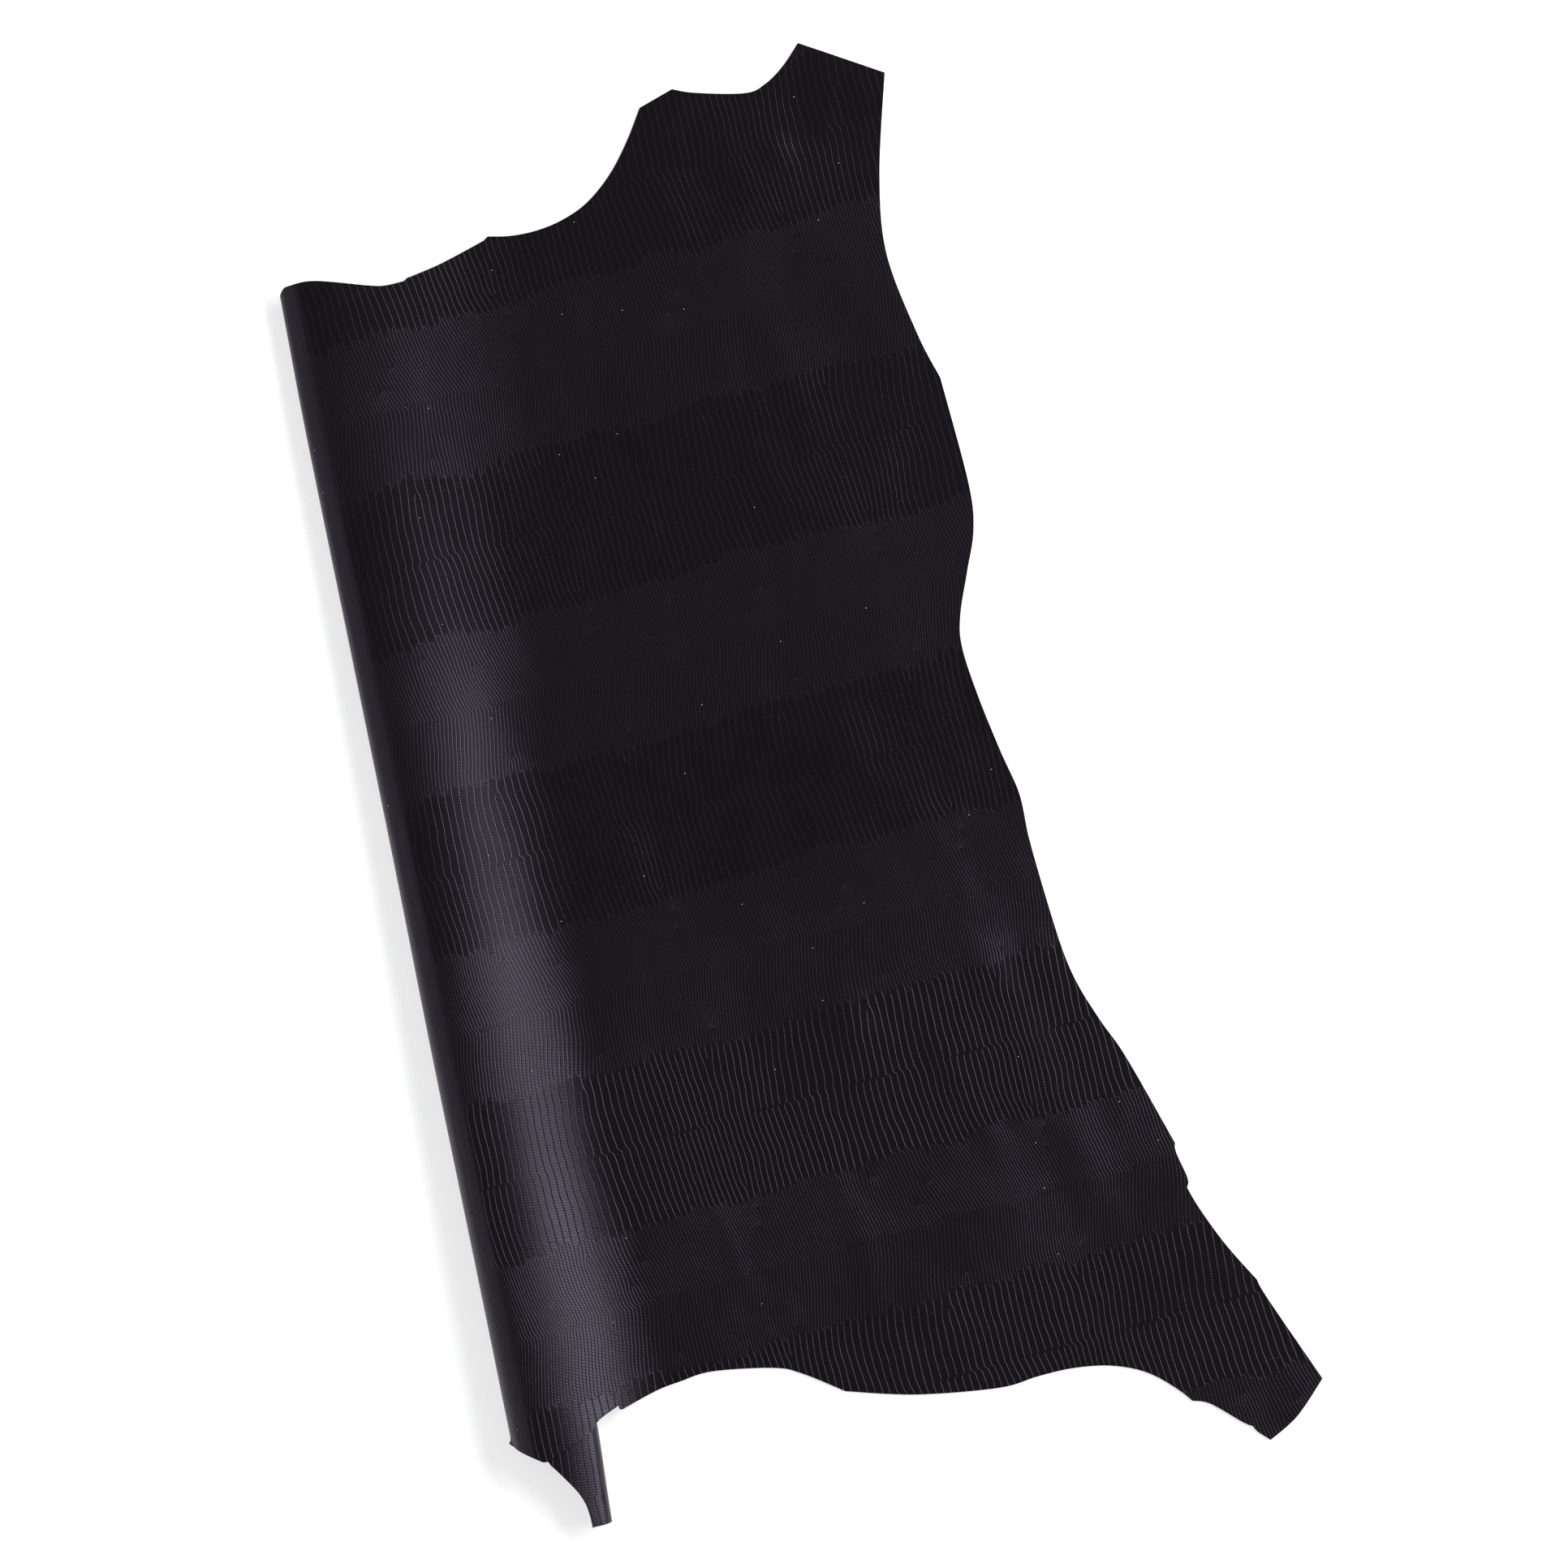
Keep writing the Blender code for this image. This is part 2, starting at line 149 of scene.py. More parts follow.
BELLY_EDGE = (
    Edge(450.9, 0.0, SMOOTH),
    Edge(444.5, 58.0, SMOOTH),
    Edge(455.1, 120.0, SMOOTH),
    Edge(465.4, 155.3, CORNER),
    Edge(470.4, 235.0, SMOOTH),
    Edge(467.3, 270.0, SMOOTH),
    Edge(456.4, 300.0, SMOOTH),
    Edge(445.3, 330.0, SMOOTH),
    Edge(441.8, 353.0, SMOOTH),
    Edge(446.0, 390.0, SMOOTH),
    Edge(454.5, 435.0, SMOOTH),
    Edge(461.8, 468.0, SMOOTH),
    Edge(462.3, 500.0, SMOOTH),
    Edge(464.6, 532.5, CORNER),
    Edge(469.9, 585.0, SMOOTH),
    Edge(476.3, 615.0, SMOOTH),
    Edge(487.6, 645.0, SMOOTH),
    Edge(500.7, 675.0, SMOOTH),
    Edge(523.5, 744.0, CORNER),
    Edge(522.8, 750.5, SMOOTH),
    Edge(527.2, 769.5, SMOOTH),
    Edge(527.2, 775.0, CORNER),
    Edge(525.7, 778.0, CORNER),
    Edge(531.6, 795.0, SMOOTH),
    Edge(545.4, 825.0, SMOOTH),
    Edge(562.9, 855.0, CORNER),
    Edge(567.8, 870.0, SMOOTH),
    Edge(LEG_CORNER, 936.3, CORNER),
    Edge(572.1, 960.0, SMOOTH),
    Edge(549.5, LEG_TIP, CORNER),
)
BUTT_EDGE = (
    Edge(541.0, 965.2, SMOOTH),
    Edge(538.5, 960.6, CORNER),
    Edge(532.0, 956.5, SMOOTH),
    Edge(511.0, 938.2, SMOOTH),
    Edge(498.5, 933.5, CORNER),
    Edge(490.0, 923.5, SMOOTH),
    Edge(475.0, 910.0, SMOOTH),
    Edge(460.0, 901.4, SMOOTH),
    Edge(440.0, 895.1, SMOOTH),
    Edge(415.0, 892.3, SMOOTH),
    Edge(390.0, 893.2, SMOOTH),
    Edge(360.0, 895.8, SMOOTH),
    Edge(300.0, 888.7, SMOOTH),
    Edge(248.5, 875.9, CORNER),
    Edge(220.0, 856.9, SMOOTH),
    Edge(200.0, 848.5, SMOOTH),
    Edge(155.0, 842.0, SMOOTH),
    Edge(131.0, 844.5, CORNER),
    Edge(112.0, 847.6, SMOOTH),
    Edge(84.2, 855.8, CORNER),
    Edge(82.8, 855.2, CORNER),
    Edge(82.2, 852.3, CORNER),
    Edge(66.0, 859.6, SMOOTH),
    Edge(57.6, 867.3, SMOOTH),
    Edge(34.3, 876.7, SMOOTH),
    Edge(23.0, 881.2, SMOOTH),
    Edge(16.0, 877.8, SMOOTH),
    Edge(3.0, 867.8, SMOOTH),
    Edge(-0.4, 860.5, SMOOTH),
)
# The rolled part: its butt end under the sheet, the hind leg that shows as a tongue, then the free
# edge of the lap, back to the neck
UNDER = "under"
LAP = "lap"
RolledEdge = namedtuple("RolledEdge", "layer across along kind")
ROLLED_EDGE = (
    RolledEdge(UNDER, 3.0, 857.0, SMOOTH),
    RolledEdge(UNDER, 12.0, 861.0, SMOOTH),
    RolledEdge(UNDER, 27.0, 877.0, SMOOTH),
    RolledEdge(UNDER, 38.0, 894.5, SMOOTH),
    RolledEdge(UNDER, 45.0, 909.0, SMOOTH),
    RolledEdge(UNDER, 49.0, 924.0, SMOOTH),
    RolledEdge(UNDER, 50.0, 934.0, CORNER),
    RolledEdge(LAP, 54.0, 936.0, SMOOTH),
    RolledEdge(LAP, 46.3, 935.5, CORNER),
    RolledEdge(LAP, 46.2, 928.0, SMOOTH),
    RolledEdge(LAP, 45.0, 919.0, SMOOTH),
    RolledEdge(LAP, 41.8, 910.0, SMOOTH),
    RolledEdge(LAP, 36.6, 901.0, SMOOTH),
    RolledEdge(LAP, 28.6, 889.0, SMOOTH),
    RolledEdge(LAP, 23.6, 881.0, SMOOTH),
    RolledEdge(LAP, 22.0, 866.0, SMOOTH),
    RolledEdge(LAP, 24.0, 830.0, SMOOTH),
    RolledEdge(LAP, 30.0, 660.0, SMOOTH),
    RolledEdge(LAP, 38.0, 420.0, SMOOTH),
    RolledEdge(LAP, 48.0, 240.0, SMOOTH),
    RolledEdge(UNDER, 52.0, 95.0, SMOOTH),
    RolledEdge(UNDER, 34.0, 40.0, SMOOTH),
    RolledEdge(UNDER, 10.0, 10.0, SMOOTH),
)

# How finely the leather is divided: columns across each part of the roll, the width of a column on
# the floor, the height of a row, and the step along the cut edge. No grid point lies nearer to that
# edge than EDGE_CLEARANCE, counted in columns or rows.
CURL_COLUMNS = 14
SLOPE_COLUMNS = 26
UNDER_COLUMNS = 8
TURN_COLUMNS = 16
LAP_COLUMNS = 8
FLAT_COLUMN = 5.5
ROW = 5.5
EDGE_STEP = 3.0
EDGE_CLEARANCE = 0.45
ONLY_INSIDE_THE_OUTLINE = 1
SAME_POINT = 1e-6


def blend(before, start, end, after, share):
    """A smooth value between start and end, led by the values on both sides."""
    rise = (end - before) / 2
    fall = (after - start) / 2
    curve = 2 * start - 2 * end + rise + fall
    bend = 3 * end - 3 * start - 2 * rise - fall
    return ((curve * share + bend) * share + rise) * share + start


@lru_cache(maxsize=None)
def roll_section(along):
    """The roll's sizes at one place along it."""
    last = len(ROLL_SECTIONS) - 1
    place = min(max(along, ROLL_SECTIONS[0].along), ROLL_SECTIONS[last].along)
    index = max(i for i in range(last) if ROLL_SECTIONS[i].along <= place)
    around = [ROLL_SECTIONS[min(max(i, 0), last)] for i in range(index - 1, index + 3)]
    share = (place - around[1].along) / (around[2].along - around[1].along)
    sizes = (blend(*values, share) for values in zip(*(row[1:] for row in around)))
    return Section(place, *sizes)


def crest_across(section):
    return section.side + THICKNESS / 2 + OUTER_CURL


def swell_height(across, along):
    lift = 0.0
    for swell in SWELLS + DENTS:
        x = (across - swell.across) / swell.half_across
        y = (along - swell.along) / swell.half_along
        lift += swell.height * max(0.0, 1 - x * x - y * y) ** 2
    return lift


def ripple_height(across, along):
    """The slow ripples, and the soft creases."""
    place = Vector((across / RIPPLE_WIDTH, along / RIPPLE_LENGTH, 0.0))
    lift = RIPPLE_RISE * (1 + noise.noise(place))
    for crease in CREASES:
        run = Vector((crease.end_across - crease.across, crease.end_along - crease.along))
        way = Vector((across - crease.across, along - crease.along))
        share = way.dot(run) / run.length_squared
        beside = (way - share * run).length / crease.half
        past_middle = 2 * share - 1
        lift += crease.height * max(0.0, 1 - beside * beside) ** 2 * max(0.0, 1 - past_middle**4)
    return lift


def sheet_height(across, along):
    """Height of the sheet's middle, from the roll's crest outward."""
    section = roll_section(along)
    crest = crest_across(section)
    share = min(max((across - crest) / (section.foot - crest), 0.0), 1.0)
    rolled = section.height * (1 + math.cos(math.pi * share**SLOPE_LEAN)) / 2
    below_crest = share * share * (3 - 2 * share)
    height = THICKNESS / 2 + rolled + swell_height(across, along)
    return height + below_crest * ripple_height(across, along)


@lru_cache(maxsize=None)
def inner_turn(along):
    """Centre, radius and angle of the inner turn, which ends at the sheet's slope above it."""
    section = roll_section(along)
    centre = section.inner_side - THICKNESS / 2 - section.turn_radius
    run = section.foot - crest_across(section)
    share = (centre - crest_across(section)) / run
    steepness = math.pi * SLOPE_LEAN * section.height / (2 * run) * share ** (SLOPE_LEAN - 1)
    steepness *= math.sin(math.pi * share**SLOPE_LEAN)
    return centre, section.turn_radius, math.pi - math.atan(steepness)


def turn_point(along, share):
    centre, radius, angle = inner_turn(along)
    across = centre + radius * math.sin(angle * share)
    return across, THICKNESS / 2 + radius * (1 - math.cos(angle * share))


def section_point(column, along):
    """Across and height of the leather's middle at one column of the roll's section."""
    section = roll_section(along)
    crest = crest_across(section)
    if abs(column) <= CURL_COLUMNS:
        angle = math.pi / 2 * column / CURL_COLUMNS
        rise = section.height * (1 + math.sin(angle)) / 2
        return crest - OUTER_CURL * math.cos(angle), THICKNESS / 2 + rise
    if column > CURL_COLUMNS + SLOPE_COLUMNS:
        across = section.foot + FLAT_COLUMN * (column - CURL_COLUMNS - SLOPE_COLUMNS)
        return across, sheet_height(across, along)
    if column > 0:
        across = crest + (section.foot - crest) * (column - CURL_COLUMNS) / SLOPE_COLUMNS
        return across, sheet_height(across, along)
    column = -column - CURL_COLUMNS
    if column <= UNDER_COLUMNS:
        run = inner_turn(along)[0] - crest
        return crest + run * column / UNDER_COLUMNS, THICKNESS / 2
    column -= UNDER_COLUMNS
    if column <= TURN_COLUMNS:
        return turn_point(along, column / TURN_COLUMNS)
    turn_across, turn_height = turn_point(along, 1.0)
    gap = sheet_height(turn_across, along) - turn_height
    across = turn_across + (crest - turn_across) * (column - TURN_COLUMNS) / LAP_COLUMNS
    return across, sheet_height(across, along) - gap


def curl_column(across, section):
    lean = (crest_across(section) - across) / OUTER_CURL
    return CURL_COLUMNS * math.acos(min(lean, 1.0)) / (math.pi / 2)


def sheet_column(across, along):
    """The column at which the sheet lies at one place in plan."""
    section = roll_section(along)
    crest = crest_across(section)
    if across < crest:
        return curl_column(across, section)
    if across < section.foot:
        return CURL_COLUMNS + SLOPE_COLUMNS * (across - crest) / (section.foot - crest)
    return CURL_COLUMNS + SLOPE_COLUMNS + (across - section.foot) / FLAT_COLUMN


def rolled_column(edge):
    """The column of a point on the rolled part's edge."""
    section = roll_section(edge.along)
    crest = crest_across(section)
    if edge.layer == UNDER and edge.across < crest:
        return -curl_column(edge.across, section)
    if edge.layer == UNDER:
        share = (edge.across - crest) / (inner_turn(edge.along)[0] - crest)
        return -CURL_COLUMNS - UNDER_COLUMNS * share
    turn_across = turn_point(edge.along, 1.0)[0]
    share = (turn_across - edge.across) / (turn_across - crest)
    return -CURL_COLUMNS - UNDER_COLUMNS - TURN_COLUMNS - LAP_COLUMNS * share


def smooth_edge(points, kinds, steps_between):
    """Points along the curve through the given points. It turns sharply at corners only."""
    curve = []
    for i in range(len(points) - 1):
        start, end = points[i], points[i + 1]
        before = start if kinds[i] == CORNER else points[i - 1]
        after = end if kinds[i + 1] == CORNER else points[i + 2]
        steps = steps_between(start, end)
        for step in range(steps):
            around = zip(before, start, end, after)
            curve.append(Vector(blend(*values, step / steps) for values in around))
    return curve


def sheet_outline():
    """The sheet's edge in columns and rows, from the roll's neck end round to its butt end."""
    edges = NECK_EDGE + BELLY_EDGE + BUTT_EDGE
    points = [Vector((edge.across, edge.along)) for edge in edges]
    kinds = [edge.kind for edge in edges[:-1]] + [CORNER]

    def steps_between(start, end):
        columns = abs(sheet_column(*start) - sheet_column(*end))
        return max(1, math.ceil((end - start).length / EDGE_STEP), math.ceil(columns))

    curve = smooth_edge(points, kinds, steps_between)
    return [Vector((sheet_column(*point), -point.y / ROW)) for point in curve]


def rolled_outline():
    """The rolled part's edge in columns and rows, from the roll's butt end back to its neck end."""
    points = [Vector((rolled_column(edge), -edge.along / ROW)) for edge in ROLLED_EDGE]
    first = Vector((0.0, -BUTT_EDGE[-1].along / ROW))
    last = Vector((0.0, -NECK_EDGE[0].along / ROW))
    kinds = [CORNER] + [edge.kind for edge in ROLLED_EDGE] + [CORNER]

    def steps_between(start, end):
        return max(1, math.ceil((end - start).length))

    return smooth_edge([first] + points + [last], kinds, steps_between)


def grid_points(outline):
    """Places where a column meets a row, but none close to the outline."""
    near = KDTree(len(outline))
    for index, point in enumerate(outline):
        near.insert(point.to_3d(), index)
    near.balance()
    columns = range(math.floor(min(p.x for p in outline)), math.ceil(max(p.x for p in outline)))
    rows = range(math.floor(min(p.y for p in outline)), math.ceil(max(p.y for p in outline)))
    places = (Vector((column, row)) for column in columns for row in rows)
    return [place for place in places if near.find(place.to_3d())[2] > EDGE_CLEARANCE]


@lru_cache(maxsize=None)
def lengths_from_foot(along):
    """Length of leather from the roll's foot to each whole column, inward and round the roll."""
    lengths = [0.0]
    first = CURL_COLUMNS + SLOPE_COLUMNS
    last = -CURL_COLUMNS - UNDER_COLUMNS - TURN_COLUMNS - LAP_COLUMNS
    before = Vector(section_point(first, along))
    for column in range(first - 1, last - 1, -1):
        point = Vector(section_point(column, along))
        lengths.append(lengths[-1] + (point - before).length)
        before = point
    return lengths


def flat_place(column, along):
    """Where a point of the hide lies when the hide is spread flat, in millimetres."""
    foot = roll_section(along).foot
    inward = CURL_COLUMNS + SLOPE_COLUMNS - column
    if inward <= 0:
        return foot - inward * FLAT_COLUMN, along
    lengths = lengths_from_foot(along)
    whole = min(int(inward), len(lengths) - 2)
    length = lengths[whole] + (inward - whole) * (lengths[whole + 1] - lengths[whole])
    return foot - length, along


def placed(point):
    """A point of the hide in metres, from its column and row."""
    along = -point.y * ROW
    across, height = section_point(point.x, along)
    return Vector((across - MIDDLE_ACROSS, MIDDLE_ALONG - along, height)) * MM


outline = sheet_outline() + rolled_outline()
outline_sides = [(i, (i + 1) % len(outline)) for i in range(len(outline))]
places = outline + grid_points(outline)
places, _, faces, *_ = delaunay_2d_cdt(places, outline_sides, [], ONLY_INSIDE_THE_OUTLINE, SAME_POINT)
hide_mesh = bpy.data.meshes.new("hide_leather")
hide_mesh.from_pydata([placed(place) for place in places], [], faces)
flat_map = hide_mesh.uv_layers.new(name="flat_leather")
flat_places = [Vector(flat_place(place.x, -place.y * ROW)) * MM for place in places]
for loop in hide_mesh.loops:
    flat_map.data[loop.index].uv = flat_places[loop.vertex_index]

# Grid points outside the outline are in no face, and go
shape = bmesh.new()
shape.from_mesh(hide_mesh)
loose_points = [point for point in shape.verts if not point.link_faces]
bmesh.ops.delete(shape, geom=loose_points, context="VERTS")
shape.to_mesh(hide_mesh)
shape.free()
hide_mesh.shade_smooth()
hide = bpy.data.objects.new("hide_leather", hide_mesh)
bpy.context.scene.collection.objects.link(hide)

# The grain: a plate of lizard grain, pressed again and again in rows that run nearly across the hide.
# Half of the plate is belly, with columns of wide flat scales on both sides of a seam. The other half
# is beads. They stand in columns half as wide, which lean one way above their own seam and the other
# way below it.
# Sizes are in millimetres on the flat hide.
PLATE_WIDTH = 219.3
PLATE_HEIGHT = 228.3
PLATE_TURN = math.radians(4.3)
PLATE_START = (91.2, 218.5)
SEAM_HALF = 1.5

# Belly: the columns on the two sides of the seam, how much closer together they stand at one place,
# how they lean and how raggedly they end, and the ticks across them
BELLY_HALF = 58.0
COLUMNS_ABOVE_SEAM = 42.0
COLUMNS_BELOW_SEAM = 45.0
COLUMN_WIDTH = 5.1
COLUMN_CROWDING = 0.75
CROWDED_PLACE = 0.25
BELLY_LEAN = 0.03
COLUMN_END_STEP = 5.0
BELOW_SEAM_SEED = 77.0
GROOVE_HALF = 0.56
TICKS = 115.0
TICK_HALF = 0.2
TICK_DEPTH = 0.8

# Beads: rows to a plate, how their columns lean and branch, and the grooves between them
BEAD_ROWS = 104.0
BEAD_LEAN = 0.17
BEAD_LEAN_START = 66.0
BEAD_LEAN_EASE = 7.0
BRANCH_LENGTH = 3.0
BRANCH_SEED = 7.0
BEAD_GROOVE_HALF = 0.6
BEAD_ROW_HALF = 0.5
BEAD_SIDE_DEPTH = 0.5
BEAD_ROW_DEPTH = 0.45

# How deep the plate bit. The depths are shares of PRESS_DEPTH, which is in metres. They grow between
# two places along the hide, which wander by UNEVEN_PRESS.
PRESS_DEPTH = 0.00025
PRESS_GROWS = (470.0, 680.0)
UNEVEN_PRESS = 150.0
BEAD_DEPTH_AT_NECK = 0.58
BEAD_DEPTH_AT_BUTT = 0.92
BELLY_DEPTH_AT_NECK = 0.34
BELLY_DEPTH_AT_BUTT = 0.7
PORE_DEPTH = 0.05

# The finish, whose paler groove colour is a painted highlight for the light that the groove walls
# catch, and the lint on it: places for a speck to a metre, a speck's size, and how many of the places
# have one
GROOVE_PAINTED_LIGHT_COLOUR = (0.0070, 0.0066, 0.0085, 1.0)
SCALE_COLOUR = (0.0022, 0.0021, 0.0030, 1.0)
GROOVE_ROUGHNESS = 0.32
BEAD_ROUGHNESS = 0.31
BELLY_ROUGHNESS = (0.21, 0.3)
SHINE = 0.46
SHINE_TINT = (0.87, 0.74, 1.0, 1.0)
LINT_CELLS = 45.0
LINT_SIZE = 0.014
LINT_SHARE = 0.04
LINT_COLOUR = (0.75, 0.74, 0.72, 1.0)

# Places on the plate where two columns join into one, going down (1) or up (-1)
Fork = namedtuple("Fork", "across from_seam turn")
FORKS = (
    Fork(across=60.0, from_seam=51.0, turn=1),
    Fork(across=63.0, from_seam=68.0, turn=1),
    Fork(across=58.0, from_seam=82.0, turn=1),
    Fork(across=58.5, from_seam=-47.0, turn=1),
    Fork(across=66.0, from_seam=-68.0, turn=1),
    Fork(across=150.0, from_seam=70.0, turn=-1),
    Fork(across=186.0, from_seam=84.0, turn=-1),
    Fork(across=172.0, from_seam=99.0, turn=-1),
    Fork(across=196.0, from_seam=-72.0, turn=-1),
    Fork(across=180.0, from_seam=-50.0, turn=-1),
)


# A noise value seldom strays further than this from one half
NOISE_SPREAD = 0.25


class Look:
    """A material for the leather, with short ways to add nodes to it.

    Its pattern lies on the flat hide, or runs through the leather's thickness.
    """

    def __init__(self, name, on_flat_hide):
        self.material = bpy.data.materials.new(name)
        self.material.use_nodes = True
        self.nodes = self.material.node_tree.nodes
        self.shader = self.nodes["Principled BSDF"]
        if on_flat_hide:
            flat_map = self.nodes.new("ShaderNodeUVMap")
            flat_map.uv_map = "flat_leather"
            self.place = flat_map.outputs["UV"]
        else:
            self.place = self.nodes.new("ShaderNodeTexCoord").outputs["Object"]

    def feed(self, socket, value):
        """Sets a socket to a number, or links it to another node's output."""
        if isinstance(value, bpy.types.NodeSocket):
            self.material.node_tree.links.new(value, socket)
        else:
            socket.default_value = value

    def reckon(self, operation, *values):
        node = self.nodes.new("ShaderNodeMath")
        node.operation = operation
        for socket, value in zip(node.inputs, values):
            self.feed(socket, value)
        return node.outputs["Value"]

    def soft_step(self, value, low, high, start=0.0, end=1.0):
        """Start below low, end above high and smooth between them."""
        node = self.nodes.new("ShaderNodeMapRange")
        node.interpolation_type = "SMOOTHSTEP"
        settings = {"Value": value, "From Min": low, "From Max": high, "To Min": start, "To Max": end}
        for name, setting in settings.items():
            self.feed(node.inputs[name], setting)
        return node.outputs["Result"]

    def pillow(self, distance, half):
        """1 on a scale's top, and ever steeper down to 0 in the groove round it."""
        share = self.reckon("MINIMUM", self.reckon("DIVIDE", distance, half), 1.0)
        return self.reckon("MULTIPLY", share, self.reckon("SUBTRACT", 2.0, share))

    def mixed(self, share, first, second, kind="FLOAT"):
        node = self.nodes.new("ShaderNodeMix")
        node.data_type = kind
        of_kind = [socket for socket in node.inputs if socket.enabled]
        for socket, value in zip(of_kind, (share, first, second)):
            self.feed(socket, value)
        return next(socket for socket in node.outputs if socket.enabled)

    def noise(self, scale, detail, roughness=0.5):
        """Random values from 0 to 1, in about so many patches to a metre."""
        node = self.nodes.new("ShaderNodeTexNoise")
        self.feed(node.inputs["Vector"], self.place)
        node.inputs["Scale"].default_value = scale
        node.inputs["Detail"].default_value = detail
        node.inputs["Roughness"].default_value = roughness
        return node

    def wander(self, scale, detail, reach):
        """Two slow random shifts, in millimetres, each up to about reach."""
        split = self.nodes.new("ShaderNodeSeparateColor")
        self.feed(split.inputs["Color"], self.noise(scale, detail).outputs["Color"])
        shifts = (self.reckon("SUBTRACT", split.outputs[name], 0.5) for name in ("Red", "Green"))
        return [self.reckon("MULTIPLY", shift, reach / NOISE_SPREAD) for shift in shifts]

    def press(self, height, depth):
        """Presses a pattern of heights into the surface, depth in metres."""
        node = self.nodes.new("ShaderNodeBump")
        node.inputs["Strength"].default_value = 1.0
        node.inputs["Distance"].default_value = depth
        self.feed(node.inputs["Height"], height)
        self.feed(self.shader.inputs["Normal"], node.outputs["Normal"])


grain = Look("lizard grain", on_flat_hide=True)
reckon = grain.reckon

plate = grain.nodes.new("ShaderNodeMapping")
plate.vector_type = "TEXTURE"
plate.inputs["Rotation"].default_value = (0.0, 0.0, -PLATE_TURN)
plate.inputs["Scale"].default_value = (MM, MM, 1.0)
grain.feed(plate.inputs["Vector"], grain.place)
on_plate = grain.nodes.new("ShaderNodeSeparateXYZ")
grain.feed(on_plate.inputs["Vector"], plate.outputs["Vector"])
slow_wander = grain.wander(scale=11.0, detail=1.0, reach=3.0)
quick_wander = grain.wander(scale=60.0, detail=0.0, reach=0.4)
across_plate = reckon("SUBTRACT", on_plate.outputs["X"], PLATE_START[0])
along_plate = reckon("SUBTRACT", on_plate.outputs["Y"], PLATE_START[1])

# The way from the belly's seam, minus above it
turn_of_plate = reckon("FRACT", reckon("DIVIDE", along_plate, PLATE_HEIGHT))
from_seam_down = reckon("MULTIPLY", reckon("WRAP", turn_of_plate, 0.5, -0.5), PLATE_HEIGHT)
from_seam = reckon("ABSOLUTE", from_seam_down)

# Columns lean away from the seam on both sides, and more among the beads
bead_lean = reckon("MULTIPLY", reckon("SUBTRACT", from_seam, BEAD_LEAN_START), BEAD_LEAN)
bead_lean = reckon("SMOOTH_MAX", bead_lean, 0.0, BEAD_LEAN_EASE)
lean = reckon("MULTIPLY_ADD", from_seam, BELLY_LEAN, bead_lean)
shift = reckon("ADD", slow_wander[0], quick_wander[0])
straightened = reckon("ADD", reckon("SUBTRACT", across_plate, lean), shift)
plate_share = reckon("DIVIDE", straightened, PLATE_WIDTH)
own_share = reckon("FRACT", plate_share)
from_crowded = reckon("SUBTRACT", own_share, CROWDED_PLACE)
crowding = reckon("SINE", reckon("MULTIPLY", from_crowded, math.tau))
even_column = reckon("MULTIPLY", plate_share, COLUMNS_ABOVE_SEAM)
column = reckon("MULTIPLY_ADD", crowding, COLUMN_CROWDING, even_column)

# The two sides of a seam have different numbers of columns. A groove steps over to the nearest one.
misfit = reckon("MULTIPLY", own_share, COLUMNS_BELOW_SEAM - COLUMNS_ABOVE_SEAM)
misfit = reckon("SUBTRACT", misfit, reckon("ROUND", misfit))
below_seam = grain.soft_step(from_seam_down, -SEAM_HALF, SEAM_HALF, -0.5, 0.5)
to_bead_seam = reckon("SUBTRACT", PLATE_HEIGHT / 2, from_seam)
off_bead_seam = grain.soft_step(to_bead_seam, 0.0, 2 * SEAM_HALF)
below_seam = reckon("MULTIPLY_ADD", below_seam, off_bead_seam, 0.5)
column = reckon("MULTIPLY_ADD", misfit, below_seam, column)

# Going once round a fork, the columns number one more or one less. The angle round it is measured so
# that it comes out the same at both sides of the plate.
turns_across = reckon("MULTIPLY", plate_share, math.pi)
for fork in FORKS:
    beside = reckon("SUBTRACT", turns_across, math.pi * fork.across / PLATE_WIDTH)
    beyond = reckon("SUBTRACT", from_seam_down, fork.from_seam)
    beyond = reckon("MULTIPLY", beyond, math.pi / PLATE_WIDTH)
    level = reckon("MULTIPLY", reckon("TANH", beyond), reckon("COSINE", beside))
    around = reckon("ARCTAN2", level, reckon("SINE", beside))
    column = reckon("MULTIPLY_ADD", around, fork.turn / math.tau, column)

# Belly scales: columns with a groove round each, cut across by shallow ticks
column_number = reckon("FLOOR", column)
from_groove = reckon("MULTIPLY", reckon("PINGPONG", column, 0.5), COLUMN_WIDTH)
column_dice = grain.nodes.new("ShaderNodeTexWhiteNoise")
column_dice.noise_dimensions = "1D"
side_of_seam = reckon("SIGN", from_seam_down)
dice_number = reckon("MULTIPLY_ADD", side_of_seam, BELOW_SEAM_SEED, column_number)
grain.feed(column_dice.inputs["W"], dice_number)
own_length = column_dice.outputs["Value"]
ragged = reckon("MULTIPLY", reckon("SUBTRACT", own_length, 0.5), COLUMN_END_STEP)
ragged = reckon("ADD", ragged, grain.wander(scale=22.0, detail=0.0, reach=4.0)[0])
to_border = reckon("SUBTRACT", reckon("ADD", ragged, BELLY_HALF), from_seam)
column_top = grain.pillow(from_groove, GROOVE_HALF)
odd_column = reckon("PINGPONG", column_number, 1.0)
ticks_along = reckon("MULTIPLY", reckon("ADD", along_plate, quick_wander[1]), TICKS / PLATE_HEIGHT)
tick_row = reckon("MULTIPLY_ADD", odd_column, 0.5, ticks_along)
tick_top = grain.pillow(reckon("PINGPONG", tick_row, 0.5), TICK_HALF)
tick_top = grain.mixed(tick_top, 1.0 - TICK_DEPTH, 1.0)
scale_groove = reckon("SUBTRACT", 1.0, reckon("MULTIPLY", column_top, tick_top))

